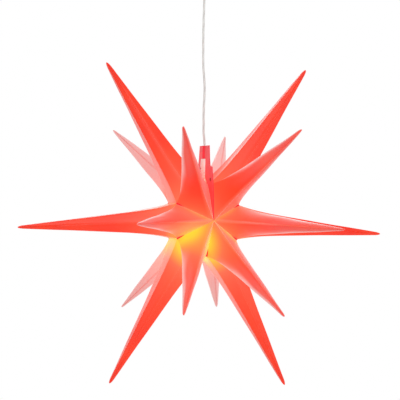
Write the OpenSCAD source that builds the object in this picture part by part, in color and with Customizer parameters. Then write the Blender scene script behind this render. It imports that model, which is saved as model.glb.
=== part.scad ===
// LED Christmas star: a folded film star with 18 points round a hanging lamp.
// Millimetres. The origin is on the ceiling, in the middle of the fitting's plate, and +Z is up.
// The star is a fan of six lobes round its own front-to-back axis, which lies along Y.
// A lobe has a front, a long middle and a rear point, and is two creased half sheets of film.

/* [Star] */
// From the ceiling down to the star's centre
drop = 410; // [400:5:900]
// Reach of the long middle points from the star's centre
middle_reach = 285; // [250:1:320]
// Reach of the front and rear points, square to the star's axis
end_reach = 160; // [140:1:180]
// How far the front and rear points stand before and behind the centre
end_depth = 230; // [200:1:260]
// Angle between the two lobes on either side of the closure
closure_angle = 68; // [60:1:80]
// The star leans this far to its right, seen from the front
star_lean = 1.4; // [0:0.1:2]

/* [Film] */
// Thickness of the film
film_t = 0.6; // [0.4:0.1:1]
// Half the width of a middle point just behind its rounded tip
middle_tip_half = 3.6; // [2.8:0.1:5]
// Half the width of a front or rear point just behind its rounded tip
end_tip_half = 2.7; // [2.4:0.1:4]
// Length of the rounding at a tip
tip_round = 7; // [4:1:12]
// Distance from the centre to the front and rear poles, where all sheets meet
pole_depth = 69.5; // [60:0.5:80]
// Distance of the valley corners from the star's axis
corner_reach = 55; // [50:0.2:60]
// Distance of the valley corners before and behind the middle
corner_depth = 27.8; // [22:0.2:34]
// Distance from the centre to the notch between a middle point and its neighbour
notch_reach = 72; // [66:1:80]
// Half the width of the small slit left open at each valley corner
slit_half = 0.8; // [0.6:0.1:1.2]
// Share of a point's width that is gained only in the flare at its root
flare = 0.24; // [0.1:0.01:0.4]

/* [Closure] */
// Height of the tab's top edge over the star's centre
tab_top = 114; // [108:1:118]
// Height of the tab's lower edge over the star's centre
tab_bottom = 94; // [90:1:97]
// Width of the tab at its top
tab_w = 60; // [50:1:66]
// Height of the step in the flange's outer edge
step_height = 82; // [78:1:86]
// Distance from the middle to the flange's edge above the step
step_inner = 38; // [34:1:42]
// Distance from the middle to the flange's edge below the step
step_outer = 51; // [46:1:54]
// Distance from the middle to the flange's edge at the height of the valley corners
shoulder = 60.5; // [56:0.5:64]
// Gap between the two arms, for the holder's neck
arm_gap = 18; // [16:0.5:22]
// Radius of the arch under the arms
arch_r = 26; // [22:1:27]
// Height of the arch's middle over the star's centre
arch_z = 40; // [38:1:44]
// Inner radius of the channel that the tab forms round the cable
channel_r = 2.3; // [2.3:0.1:3]

/* [Press studs] */
// Place of the front stud: distance before the middle
front_stud_y = 45; // [40:1:48]
// Place of the front stud: height over the star's centre
front_stud_z = 62; // [60:1:68]
// Place of the rear stud: distance behind the middle
rear_stud_y = 22; // [18:1:26]
// Place of the rear stud: height over the star's centre
rear_stud_z = 79; // [74:1:84]
// Radius of a stud's head
stud_head_r = 2.6; // [2.2:0.1:4]
// Thickness of a stud's head
stud_head_t = 1.2; // [0.8:0.1:2]
// Radius of a stud's post
stud_post_r = 1.1; // [0.8:0.1:1.6]
// Thickness of a stud's socket
socket_t = 1.8; // [1.4:0.1:2.4]

/* [Cable] */
// Diameter of the cable
cable_d = 3.5; // [3:0.1:4]

/* [Ceiling fitting] */
// Radius of the cup at the ceiling
cup_r = 40; // [36:1:60]
// Height of the cup
cup_h = 42; // [38:1:50]
// Wall of the cup
cup_wall = 1.6; // [1.2:0.1:2.4]
// Radius of the cup's lower edge rounding
cup_round = 14; // [8:1:18]
// Thickness of the ceiling plate
plate_t = 2.5; // [2:0.1:4]
// Distance between the two holes for the ceiling screws
screw_spacing = 50; // [40:1:54]
// Radius of the holes for the ceiling screws
screw_hole_r = 2.5; // [2:0.1:3]
// Radius of the hole for the supply cable
supply_r = 5; // [4:0.5:6]
// Distance from the middle to the supply hole
supply_y = 20; // [18:1:22]
// Radius of the cup screws' shanks
cup_screw_r = 1.5; // [1.2:0.1:2]
// How far the cup screws lie below the ceiling
cup_screw_drop = 9; // [8:1:12]
// Width, depth and height of the terminal block
terminal_size = [22, 16, 12]; // [10:1:26]
// Radius of the cord grip's barrel
grip_r = 5; // [4:0.1:6]
// Length of the cord grip below the cup
grip_len = 11; // [8:1:14]

/* [Lamp holder] */
// Radius of the holder's neck
neck_r = 6.5; // [5.5:0.1:7]
// Height of the holder cap's top over the star's centre
cap_top = 52; // [48:1:53]
// Height of the seam between cap and body
cap_seam = 40; // [36:1:43]
// Radius of the holder's body
holder_r = 15; // [14:0.5:18]
// Height of the holder body's lower rim
holder_rim = 14; // [12:1:16]
// Wall of the holder's mouldings
holder_wall = 1.8; // [1.4:0.1:2.4]
// Thickness of the sealing ring
seal_t = 4; // [3:0.5:5]

/* [Bulb] */
// Radius of the bulb's thread cap
bulb_cap_r = 6.9; // [6.5:0.1:7.1]
// Length of the bulb's thread cap
bulb_cap_len = 15.7; // [14:0.1:18]
// Radius of the bulb's housing where it passes the sealing ring
bulb_neck_r = 8; // [7.6:0.1:9]
// Radius of the bulb's diffuser
bulb_r = 16; // [14:0.5:17]
// Height of the diffuser's rim over the star's centre
bulb_rim = -4; // [-6:1:-2]
// Height of the diffuser's lowest point
bulb_bottom = -36; // [-37:0.5:-30]
// Wall of the diffuser
diffuser_wall = 1.2; // [0.8:0.1:1.6]
// Number of LED chips on the board
led_count = 8; // [6:1:10]

/* [Hidden] */

LOBES = 6;
SHEETS = 2 * LOBES;
$fn = 48;
// Clearance between pieces that move past each other, and between a shaft and its hole
run_gap = 0.3;
fit_gap = 0.2;
// Overlap that lets a cut run past the face it opens
past = 1;
cable_r = cable_d / 2;
lobe_step = (360 - closure_angle) / (LOBES - 1);

// Colours
FILM_RED = [0.93, 0.25, 0.18];
STUD_RED = [0.80, 0.12, 0.14];
CABLE_WHITE = [0.88, 0.88, 0.87];
MOULDING_WHITE = [0.94, 0.93, 0.90];
BRASS = [0.80, 0.66, 0.36];
OPAL = [1.0, 0.97, 0.86];
BOARD_GREEN = [0.85, 0.88, 0.84];
CHIP_YELLOW = [0.95, 0.80, 0.25];
STEEL = [0.72, 0.72, 0.74];
SEAL_GREY = [0.62, 0.62, 0.62];

// The tab's middle hangs on the holder's axis, so the star's centre stands a little to its left
tab_middle = (tab_top + tab_bottom) / 2;
star_shift = -tab_middle * sin(star_lean);
module at_star() translate([star_shift, 0, -drop]) rotate([0, star_lean, 0]) children();
module at_lamp() translate([0, 0, -drop]) children();

// How far each tip strays from its true place as the film bends: [outwards, counterclockwise].
// One row for each lobe, clockwise from the closure, with its front, middle and rear tips.
STRAY = [
  [[2, 2], [-2, 1], [2, 2]],
  [[-2, -2], [-1, -3], [0, 0]],
  [[-7, -6], [0, -4], [2, 3]],
  [[-1, -4], [2, 0], [1, 4]],
  [[-7, 1], [2, 5], [0, 0]],
  [[1, -2], [-2, -2], [10, 1]]
];
// Rings along a point, as shares of its length, between the tip and the root
RINGS = [0.006, 0.03, 0.14, 0.32, 0.52, 0.72, 0.86, 0.94];
// Powers that shape the flare at a root, the bend of a straying tip and the opening at a valley
FLARE_POWER = 8;
BEND_POWER = 1.2;
OPEN_POWER = 6;
// The film stands slanted to the ribs and roots, so its wall is this many times as deep there
RIB_SLANT = 1.5;
POLE_SLANT = 3.7;
CORNER_SLANT = 3;
NOTCH_SLANT = 2;
TIP_SLANT = 4;
// Shares of the way to a corner at which its slit ends
slit_end = 0.78;
// Shares of the way between the corners of a plain sheet and of a sheet at the closure
PLAIN_STEPS = [1 - slit_end, slit_end];
SEAM_STEPS = [0.12, 0.25, 0.38, 0.5, 0.62, 0.75, 0.88];
// Half the width that the closure's sheets leave for the neck between their corners
neck_opening = neck_r + 3;

// Sheets run clockwise from the closure, two to a lobe. Their own points are written
// [outwards, towards the sheet's side, backwards].
function lobe_of(n) = floor((n - 1) / 2);
function side_of(n) = n % 2 == 1 ? 1 : -1;
function at_seam(n) = n == 1 || n == SHEETS;
function lobe_turn(n) = 90 - closure_angle / 2 - lobe_of(n) * lobe_step;
function half_gap(n) = (at_seam(n) ? closure_angle : lobe_step) / 2;
function mix(a, b, u) = a + (b - a) * u;
function inset(p, d) = p * (1 - d / norm(p));

// Roots of the points on the outer face, where wall is 0, or on the inner face
function notch(end, wall) =
  let (turn = atan2(end_depth, end_reach) / 2, reach = notch_reach - NOTCH_SLANT * wall)
  [reach * cos(turn), 0, end * reach * sin(turn)];
function corner(n, end, wall) = inset(
  [corner_reach * cos(half_gap(n)), corner_reach * sin(half_gap(n)), end * corner_depth],
  CORNER_SLANT * wall
);
function pole(end, wall) = [0, 0, end * (pole_depth - POLE_SLANT * wall)];

// A rib starts at the tip with its rounded half width, widens evenly and flares at the root
function widening(s) = (1 - flare) * s + flare * pow(s, FLARE_POWER);
function blunt(s, run) = s * run < tip_round ? sqrt(1 - pow(1 - s * run / tip_round, 2)) : 1;
function rib(tip, root, s, half) =
  let (
    along = -tip / norm(tip),
    run = (root - tip) * along,
    across = (root - tip) - run * along,
    g = widening(s)
  )
  tip + along * run * s + across * (g + (1 - g) * blunt(s, run) * half / norm(across));

// A column is [root a, root b, share from a to b, opening]: a rib, or a line between two ribs
function end_columns(n, end, wall) = [
  [pole(end, wall), pole(end, wall), 0, 0],
  [pole(end, wall), corner(n, end, wall), slit_end, 0],
  [corner(n, end, wall), corner(n, end, wall), 0, slit_half],
  [notch(end, wall), notch(end, wall), 0, 0]
];
function neck_room(u) = neck_opening * sin(180 * u) + slit_half;
function between_columns(n, wall) = [
  for (u = at_seam(n) ? SEAM_STEPS : PLAIN_STEPS)
    [corner(n, -1, wall), corner(n, 1, wall), u, at_seam(n) ? neck_room(u) : 0]
];
function middle_columns(n, wall) =
  let (front = end_columns(n, -1, wall), rear = end_columns(n, 1, wall))
  concat([front[3], front[2]], between_columns(n, wall), [rear[2], rear[3]]);
function columns(n, spike, wall = 0) =
  spike == 1 ? middle_columns(n, wall)
    : spike == 0 ? end_columns(n, -1, wall) : reversed(end_columns(n, 1, wall));
function reversed(list) = [for (i = [len(list) - 1:-1:0]) list[i]];

function tip_of(spike) = spike == 1 ? [middle_reach, 0, 0] : [end_reach, 0, (spike - 1) * end_depth];
function stray_of(n, spike) =
  let (s = STRAY[lobe_of(n)][spike])
  [s[0], side_of(n) * s[1], 0];
function away_from_valley(n) = [sin(half_gap(n)), -cos(half_gap(n)), 0];

// A point of the sheet's outer face, or of its inner face a wall deeper
function film_point(n, spike, column, s, wall) =
  let (
    tip = inset(tip_of(spike), TIP_SLANT * wall),
    half = (spike == 1 ? middle_tip_half : end_tip_half) - RIB_SLANT * wall
  )
  mix(rib(tip, column[0], s, half), rib(tip, column[1], s, half), column[2])
    + away_from_valley(n) * column[3] * pow(s, OPEN_POWER)
    + stray_of(n, spike) * pow(1 - s, BEND_POWER);

// From a sheet's own directions to the star's
function in_star(n, p) =
  let (a = lobe_turn(n), w = side_of(n) * p[1])
  [p[0] * cos(a) - w * sin(a), p[2], p[0] * sin(a) + w * cos(a)];

// The points of one face: three tips, the roots from pole to pole, then the rings of each spike
function root_columns(n, wall = 0) =
  let (m = columns(n, 1, wall), r = columns(n, 2, wall))
  concat(columns(n, 0, wall), [for (i = [2:len(m) - 1]) m[i]], [r[2], r[3]]);
function face_points(n, wall) = concat(
  [for (k = [0:2]) film_point(n, k, columns(n, k, wall)[0], 0, wall)],
  [for (c = root_columns(n, wall)) film_point(n, 1, c, 1, wall)],
  [for (k = [0:2], s = RINGS, c = columns(n, k, wall)) film_point(n, k, c, s, wall)]
);
// Places of each spike's roots in that list
function root_places(n, spike) =
  let (m = len(between_columns(n, 0)))
  spike == 0 ? [0, 1, 2, 3]
    : spike == 1 ? concat([3, 2], [for (i = [4:5 + m]) i])
    : [5 + m, 4 + m, 6 + m, 7 + m];
function ring_start(n, spike) =
  let (width = [for (k = [0:2]) len(columns(n, k))])
  3 + len(root_columns(n))
    + (spike > 0 ? width[0] * len(RINGS) : 0) + (spike > 1 ? width[1] * len(RINGS) : 0);
function place(n, spike, ring, c) =
  ring == 0 ? spike
    : ring > len(RINGS) ? 3 + root_places(n, spike)[c]
    : ring_start(n, spike) + (ring - 1) * len(columns(n, spike)) + c;

function face_triangles(n) = [
  for (k = [0:2], j = [0:len(RINGS)], c = [0:len(columns(n, k)) - 2])
    let (
      a = place(n, k, j, c), b = place(n, k, j, c + 1),
      d = place(n, k, j + 1, c), e = place(n, k, j + 1, c + 1)
    )
    each j == 0 ? [[a, e, d]] : [[a, b, e], [a, e, d]]
];
// The sheet's edge, once round: up and down each spike in the lobe's plane, back along the valley
function edge_loop(n) =
  let (
    last = [for (k = [0:2]) len(columns(n, k)) - 1],
    top = len(RINGS) + 1,
    roots = len(root_columns(n))
  )
  concat(
    [for (k = [0:2]) each concat(
      [for (j = [top:-1:0]) place(n, k, j, 0)],
      [for (j = [1:(k < 2 ? top - 1 : top)]) place(n, k, j, last[k])]
    )],
    [3 + roots - 2],
    [3 + root_places(n, 1)[last[1] - 1]],
    [for (c = [last[1] - 2:-1:1]) 3 + root_places(n, 1)[c]],
    [4]
  );

function turned(triangles, on) = on ? [for (t = triangles) [t[0], t[2], t[1]]] : triangles;

module sheet_shell(n) {
  outer = face_points(n, 0);
  inner = face_points(n, film_t);
  count = len(outer);
  skin = face_triangles(n);
  loop = edge_loop(n);
  rim = [
    for (i = [0:len(loop) - 1])
      let (a = loop[i], b = loop[(i + 1) % len(loop)])
      each [[a, b, count + b], [a, count + b, count + a]]
  ];
  back = [for (t = skin) [count + t[0], count + t[2], count + t[1]]];
  polyhedron(
    points = [for (p = concat(outer, inner)) in_star(n, p)],
    faces = turned(concat(turned(skin, true), turned(back, true), rim), side_of(n) < 0),
    convexity = 8
  );
}

// Outline of the closure's flange in the seam's plane, as [backwards, up]
seat_depth = 1.6 * film_t;
// Half the height over which the outer edge steps in
step_rise = 1;
module flange_outline() {
  half = [
    [tab_w / 2, tab_top],
    [mix(tab_w / 2, step_inner, 0.5), tab_bottom],
    [step_inner, step_height + step_rise],
    [step_outer, step_height - step_rise],
    [shoulder, corner_reach],
    [pole_depth, 0],
    [pole_depth - seat_depth, 0],
    [corner_depth, corner_reach - seat_depth]
  ];
  difference() {
    polygon(concat(half, [for (p = reversed(half)) [-p[0], p[1]]]));
    translate([0, arch_z]) circle(arch_r);
    translate([-arm_gap / 2, arch_z]) square([arm_gap, tab_bottom - arch_z]);
  }
}
// The flange stands on the right of the seam's plane; the left sheet has its mirror image
module flange() {
  difference() {
    union() {
      rotate([90, 0, 90]) linear_extrude(film_t) flange_outline();
      intersection() {
        translate([0, 0, tab_bottom]) cylinder(r = channel_r + film_t, h = tab_top - tab_bottom);
        translate([0, -arm_gap / 2, tab_bottom]) cube([arm_gap, arm_gap, tab_top - tab_bottom]);
      }
    }
    translate([0, 0, tab_bottom - past]) cylinder(r = channel_r, h = tab_top - tab_bottom + 2 * past);
    for (s = STUDS) translate([-past, s[0], s[1]]) rotate([0, 90, 0])
      cylinder(r = stud_post_r + run_gap, h = film_t + 2 * past);
  }
}

module film_sheet(n) color(FILM_RED) at_star() {
  if (at_seam(n)) union() {
    sheet_shell(n);
    if (n == 1) flange();
    else mirror([1, 0, 0]) flange();
  }
  else sheet_shell(n);
}

// Press studs: places as [backwards, up]
STUDS = [[-front_stud_y, front_stud_z], [rear_stud_y, rear_stud_z]];
module on_stud(s) at_star() translate([0, s[0], s[1]]) rotate([0, 90, 0]) children();
module stud(s) color(STUD_RED) on_stud(s) {
  translate([0, 0, -film_t - run_gap - stud_head_t]) cylinder(r = stud_head_r, h = stud_head_t);
  translate([0, 0, -film_t - run_gap]) cylinder(r = stud_post_r, h = 2 * film_t + run_gap + socket_t);
}
module stud_sockets() color(STUD_RED) for (s = STUDS) on_stud(s) difference() {
  translate([0, 0, film_t]) cylinder(r = stud_head_r, h = socket_t);
  translate([0, 0, film_t - past]) cylinder(r = stud_post_r + run_gap, h = socket_t + 2 * past);
}
module front_stud() stud(STUDS[0]);
module rear_stud() stud(STUDS[1]);

// Cable: it swings on a domed end under the cord grip, and the lamp tilts under another dome
grip_mouth = -cup_h - grip_len;
swing_z = grip_mouth - cable_r - run_gap;
tilt_z = -drop + tab_top + cable_r + run_gap;
CABLE_SIDES = 8;
// The free drop's way: [sideways, backwards, share of the way down]
WAY = [
  [0, 0, 0], [0, 0, 0.03], [-0.5, 0, 0.08], [-1, 0, 0.15], [-1.5, 0, 0.22], [-2, 0, 0.3],
  [-2, 0.5, 0.4], [-2, 0.5, 0.48], [-1.5, 0, 0.53], [-0.5, 0, 0.58], [0, 0, 0.63], [0, 0, 0.67],
  [-0.5, 0, 0.71], [-1, 0, 0.75], [-1.5, 0, 0.8], [-1.5, 0, 0.86], [-1.5, 0, 0.92], [-0.5, 0, 0.97],
  [0, 0, 1]
];
DOME = [[0.15, 0.99], [0.5, 0.87], [0.87, 0.5]];
function drop_rings() = concat(
  [for (d = DOME) [0, 0, swing_z + cable_r * d[1], cable_r * d[0]]],
  [for (p = WAY) [p[0], p[1], mix(swing_z, tilt_z, p[2]), cable_r]],
  [for (d = reversed(DOME)) [0, 0, tilt_z - cable_r * d[1], cable_r * d[0]]]
);
module tube(rings) {
  count = len(rings);
  points = [
    for (r = rings, k = [0:CABLE_SIDES - 1])
      [r[0] + r[3] * cos(360 * k / CABLE_SIDES), r[1] + r[3] * sin(360 * k / CABLE_SIDES), r[2]]
  ];
  walls = [
    for (i = [0:count - 2], k = [0:CABLE_SIDES - 1])
      let (a = i * CABLE_SIDES + k, b = i * CABLE_SIDES + (k + 1) % CABLE_SIDES)
      each [[a, b, b + CABLE_SIDES], [a, b + CABLE_SIDES, a + CABLE_SIDES]]
  ];
  caps = [
    [for (k = [CABLE_SIDES - 1:-1:0]) k],
    [for (k = [0:CABLE_SIDES - 1]) (count - 1) * CABLE_SIDES + k]
  ];
  polyhedron(points = points, faces = concat(walls, caps), convexity = 4);
}
module cable_drop() color(CABLE_WHITE) tube(drop_rings());
terminal_bottom = -plate_t - terminal_size[2];
module cable_lead_in() color(CABLE_WHITE)
  translate([0, 0, grip_mouth]) cylinder(r = cable_r, h = terminal_bottom - grip_mouth);
core_top = cap_seam - 1;
module cable_tail() color(CABLE_WHITE) at_lamp()
  translate([0, 0, core_top]) cylinder(r = cable_r, h = tab_top - core_top);

// Lamp holder, at heights over the star's centre
neck_top = tab_bottom - run_gap;
neck_taper = [1, 12];
spigot_r = neck_r - holder_wall;
module neck_sleeve() color(MOULDING_WHITE) at_lamp() rotate_extrude() polygon([
  [cable_r + fit_gap, cap_top - holder_wall], [spigot_r, cap_top - holder_wall],
  [spigot_r, cap_top], [neck_r, cap_top], [neck_r, neck_top - neck_taper[1]],
  [neck_r - neck_taper[0], neck_top], [cable_r + fit_gap, neck_top]
]);
cap_bevel = [3, (cap_top - cap_seam) / 3];
module holder_cap() color(MOULDING_WHITE) at_lamp() rotate_extrude() polygon([
  [spigot_r, cap_top], [neck_r, cap_top], [holder_r - cap_bevel[0], cap_top - cap_bevel[1]],
  [holder_r, cap_seam + cap_bevel[1]], [holder_r, cap_seam], [holder_r - holder_wall, cap_seam],
  [holder_r - holder_wall, cap_seam + cap_bevel[1]],
  [holder_r - cap_bevel[0] - holder_wall, cap_top - cap_bevel[1] - holder_wall],
  [spigot_r, cap_top - holder_wall]
]);
core_t = 4;
core_bottom = core_top - core_t;
module holder_body() color(MOULDING_WHITE) at_lamp() difference() {
  translate([0, 0, holder_rim]) cylinder(r = holder_r, h = cap_seam - holder_rim);
  translate([0, 0, holder_rim - past])
    cylinder(r = holder_r - holder_wall, h = cap_seam - holder_rim + 2 * past);
}
module socket_core() color(MOULDING_WHITE) at_lamp()
  translate([0, 0, core_bottom]) cylinder(r = holder_r - holder_wall, h = core_t);
shell_r = bulb_cap_r + run_gap;
shell_t = 0.6;
shell_rim = 1;
shell_len = core_bottom - holder_rim - shell_rim;
module socket_shell() color(BRASS) at_lamp() difference() {
  translate([0, 0, core_bottom - shell_len]) cylinder(r = shell_r + shell_t, h = shell_len);
  translate([0, 0, core_bottom - shell_len - past]) cylinder(r = shell_r, h = shell_len + 2 * past);
}
bulb_seat = holder_rim - seal_t - 2 * run_gap;
// The bulb's cap starts this far inside the sealing ring
cap_sink = 1.4;
bulb_cap_foot = bulb_seat + seal_t - cap_sink;
bulb_cap_top = bulb_cap_foot + bulb_cap_len;
tip_contact_r = 2.2;
tip_contact_t = 0.8;
module socket_contact() color(BRASS) at_lamp()
  translate([0, 0, bulb_cap_top + tip_contact_t + run_gap])
    cylinder(r = tip_contact_r, h = core_bottom - bulb_cap_top - tip_contact_t - run_gap);

module seal_ring() color(SEAL_GREY) at_lamp() translate([0, 0, bulb_seat + run_gap]) difference() {
  cylinder(r = holder_r - fit_gap, h = seal_t);
  translate([0, 0, -past]) cylinder(r = bulb_neck_r + run_gap, h = seal_t + 2 * past);
}

// Bulb, at heights over the star's centre
module bulb_cap() color(BRASS) at_lamp()
  translate([0, 0, bulb_cap_foot]) cylinder(r = bulb_cap_r, h = bulb_cap_len);
module bulb_contact() color(BRASS) at_lamp()
  translate([0, 0, bulb_cap_top]) cylinder(r = tip_contact_r, h = tip_contact_t);
// The housing's top stands inside the holder's edge, and its foot is a straight band
housing_inset = 2;
housing_band = 2;
module bulb_housing() color(MOULDING_WHITE) at_lamp() rotate_extrude() polygon([
  [0, bulb_cap_foot], [bulb_neck_r, bulb_cap_foot], [bulb_neck_r, bulb_seat],
  [holder_r - housing_inset, bulb_seat], [bulb_r, bulb_rim + housing_band], [bulb_r, bulb_rim],
  [0, bulb_rim]
]);
board_t = 1;
board_margin = 1.5;
board_r = bulb_r - diffuser_wall - board_margin;
chip_size = 2.8;
chip_t = 0.8;
module led_board() color(BOARD_GREEN) at_lamp()
  translate([0, 0, bulb_rim - board_t]) cylinder(r = board_r, h = board_t);
module led_chips() color(CHIP_YELLOW) at_lamp() for (k = [0:led_count - 1])
  rotate([0, 0, 360 * k / led_count]) translate([board_r - chip_size, 0, bulb_rim - board_t - chip_t / 2])
    cube([chip_size, chip_size, chip_t], center = true);
// The diffuser is a short straight skirt on a half ball
dome_z = bulb_bottom + bulb_r;
module diffuser_profile(r) {
  intersection() {
    translate([0, dome_z]) circle(r);
    translate([0, dome_z - 2 * r]) square([r, 2 * r]);
  }
  translate([0, dome_z]) square([r, bulb_rim - dome_z]);
}
module bulb_diffuser() color(OPAL) at_lamp() difference() {
  rotate_extrude() diffuser_profile(bulb_r);
  rotate_extrude() diffuser_profile(bulb_r - diffuser_wall);
}

// Ceiling fitting
plate_margin = 2;
lug_size = [10, 4, 14];
lug_y = cup_r - cup_wall - fit_gap - lug_size[1];
module along_lugs() for (turn = [0, 180]) rotate([0, 0, turn]) children();
module ceiling_plate() color(STEEL) difference() {
  union() {
    translate([0, 0, -plate_t]) cylinder(r = cup_r - cup_wall - plate_margin, h = plate_t);
    along_lugs() translate([-lug_size[0] / 2, lug_y, -lug_size[2]]) cube(lug_size);
  }
  for (x = [-1, 1]) translate([x * screw_spacing / 2, 0, -plate_t - past])
    cylinder(r = screw_hole_r, h = plate_t + 2 * past);
  translate([0, supply_y, -plate_t - past]) cylinder(r = supply_r, h = plate_t + 2 * past);
  along_lugs() translate([0, lug_y - past, -cup_screw_drop]) rotate([-90, 0, 0])
    cylinder(r = cup_screw_r + fit_gap, h = lug_size[1] + 2 * past);
}
module cup_profile(wall) {
  r = cup_r - wall;
  bottom = -cup_h + wall;
  bend = cup_round - wall;
  translate([r - bend, bottom + bend]) intersection() {
    circle(bend);
    translate([0, -bend]) square(bend);
  }
  translate([0, bottom]) square([r - bend, bend]);
  translate([0, bottom + bend]) square([r, -bottom - bend]);
}
module ceiling_cup() color(MOULDING_WHITE) difference() {
  rotate_extrude() cup_profile(0);
  rotate_extrude() cup_profile(cup_wall);
  translate([0, 0, -cup_h - past]) cylinder(r = grip_r + fit_gap, h = cup_wall + 2 * past);
  along_lugs() translate([0, cup_r - cup_wall - past, -cup_screw_drop]) rotate([-90, 0, 0])
    cylinder(r = cup_screw_r + fit_gap, h = cup_wall + 2 * past);
}
cup_screw_head_r = 3;
cup_screw_head_t = 1.6;
module on_cup_screws() along_lugs() translate([0, cup_r, -cup_screw_drop]) rotate([90, 0, 0]) children();
module cup_screws() color(STEEL) on_cup_screws() {
  translate([0, 0, -cup_screw_head_t]) cylinder(r = cup_screw_head_r, h = cup_screw_head_t);
  cylinder(r = cup_screw_r, h = cup_wall + fit_gap + lug_size[1]);
}
// The grip's thread ends this far over its nut, and its collar tapers to the mouth
nut_t = 4;
nut_width = 3;
grip_top = -cup_h + cup_wall + nut_t + 1;
grip_collar = [2.5, 3];
mouth_wall = 2;
module cord_grip() color(MOULDING_WHITE) rotate_extrude() polygon([
  [cable_r + fit_gap, grip_top], [grip_r, grip_top], [grip_r, -cup_h],
  [grip_r + grip_collar[0], -cup_h], [grip_r + grip_collar[0], -cup_h - grip_collar[1]],
  [cable_r + mouth_wall, grip_mouth], [cable_r + fit_gap, grip_mouth]
]);
module grip_nut() color(MOULDING_WHITE) translate([0, 0, -cup_h + cup_wall]) difference() {
  cylinder(r = grip_r + nut_width, h = nut_t, $fn = 6);
  translate([0, 0, -past]) cylinder(r = grip_r + fit_gap, h = nut_t + 2 * past);
}
terminal_screw_r = 1.6;
terminal_screw_len = 4;
terminal_rows = 6;
module on_terminals() for (x = [-1, 1], z = [-1, 1]) translate([
  x * terminal_size[0] / 4, -terminal_size[1] / 2,
  terminal_bottom + terminal_size[2] / 2 + z * terminal_rows / 2
]) rotate([-90, 0, 0]) children();
module terminal_block() color(MOULDING_WHITE) difference() {
  translate([-terminal_size[0] / 2, -terminal_size[1] / 2, terminal_bottom]) cube(terminal_size);
  on_terminals() translate([0, 0, -past])
    cylinder(r = terminal_screw_r + fit_gap, h = terminal_screw_len + past);
}
module terminal_screws() color(BRASS) on_terminals()
  cylinder(r = terminal_screw_r, h = terminal_screw_len);

film_sheet(1);  // film_sheet_1
film_sheet(2);  // film_sheet_2
film_sheet(3);  // film_sheet_3
film_sheet(4);  // film_sheet_4
film_sheet(5);  // film_sheet_5
film_sheet(6);  // film_sheet_6
film_sheet(7);  // film_sheet_7
film_sheet(8);  // film_sheet_8
film_sheet(9);  // film_sheet_9
film_sheet(10);  // film_sheet_10
film_sheet(11);  // film_sheet_11
film_sheet(12);  // film_sheet_12
stud_sockets();
front_stud();
rear_stud();
cable_lead_in();
cable_drop();
cable_tail();
neck_sleeve();
holder_cap();
holder_body();
socket_core();
socket_shell();
socket_contact();
seal_ring();
bulb_cap();
bulb_contact();
bulb_housing();
led_board();
led_chips();
bulb_diffuser();
ceiling_plate();
ceiling_cup();
cup_screws();
cord_grip();
grip_nut();
terminal_block();
terminal_screws();
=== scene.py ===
"""LED Christmas star: a folded film star hung round a lit lamp, under a small ceiling fitting.

Metres in the scene, and millimetres in the values below, unless a comment says metres. +Z is up and
the origin is on the ceiling.
"""
import math

import bmesh
import bpy
import numpy as np
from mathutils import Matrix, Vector


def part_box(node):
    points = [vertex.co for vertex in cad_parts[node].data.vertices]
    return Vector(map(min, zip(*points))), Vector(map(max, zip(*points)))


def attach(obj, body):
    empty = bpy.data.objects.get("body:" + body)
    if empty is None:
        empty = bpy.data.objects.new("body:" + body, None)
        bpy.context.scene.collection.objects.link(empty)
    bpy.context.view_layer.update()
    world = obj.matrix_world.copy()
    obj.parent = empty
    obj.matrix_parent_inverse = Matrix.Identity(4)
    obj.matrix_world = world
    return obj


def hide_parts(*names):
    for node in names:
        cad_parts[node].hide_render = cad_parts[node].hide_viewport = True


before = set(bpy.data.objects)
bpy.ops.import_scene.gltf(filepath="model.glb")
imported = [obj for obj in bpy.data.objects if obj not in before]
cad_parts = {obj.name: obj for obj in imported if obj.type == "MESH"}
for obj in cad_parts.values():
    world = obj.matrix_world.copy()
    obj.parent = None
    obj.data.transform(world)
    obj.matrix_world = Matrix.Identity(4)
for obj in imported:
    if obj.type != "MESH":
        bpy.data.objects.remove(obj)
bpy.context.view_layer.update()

MM = 0.001

# Star: the same sizes as the solids, in millimetres and degrees
DROP = 410
MIDDLE_REACH = 285
END_REACH = 160
END_DEPTH = 230
CLOSURE_ANGLE = 68
STAR_LEAN = 1.4
MIDDLE_TIP_HALF = 2.7
END_TIP_HALF = 1.8
TIP_ROUND = 9
POLE_DEPTH = 69.5
CORNER_REACH = 55
CORNER_DEPTH = 27.8
NOTCH_REACH = 72
SLIT_HALF = 0.8
SLIT_END = 0.78
FLARE = 0.24
FILM_T = 0.6
LOBES = 6
SHEETS = 2 * LOBES
LOBE_STEP = (360 - CLOSURE_ANGLE) / (LOBES - 1)

# How far each tip strays as the film bends: [outwards, counterclockwise], by lobe and spike
STRAY = [
    [[2, 2], [-2, 1], [2, 2]],
    [[-2, -2], [-1, -3], [0, 0]],
    [[-7, -6], [0, -4], [2, 3]],
    [[-1, -4], [2, 0], [1, 4]],
    [[-7, 1], [2, 5], [0, 0]],
    [[1, -2], [-2, -2], [10, 1]],
]
# Powers of a ring's share of the way from root to tip, for the bend to the strayed tip, and from tip to
# root, for the ribs' flare, the valley's opening, and the fading of folds and waves
BEND_POWER = 1.2
FLARE_POWER = 8
OPEN_POWER = 6
FOLD_POWER = 6
WAVE_POWER = 4
# How many film thicknesses the inner face lies behind each kind of point on the outer one
RIB_SLANT = 1.5
POLE_SLANT = 3.7
CORNER_SLANT = 3
NOTCH_SLANT = 2
TIP_SLANT = 4

# Closure: tab, arms and flange, measured from the star's centre
TAB_TOP = 114
TAB_BOTTOM = 94
TAB_W = 60
STEP_HEIGHT = 82
STEP_RISE = 1
STEP_INNER = 38
STEP_OUTER = 51
TAB_FLARE = 4
SHOULDER = 60.5
ARM_GAP = 18
ARCH_R = 26
ARCH_Z = 40
CHANNEL_R = 2.3
NECK_R = 6.5
NECK_OPENING = NECK_R + 3

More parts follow.
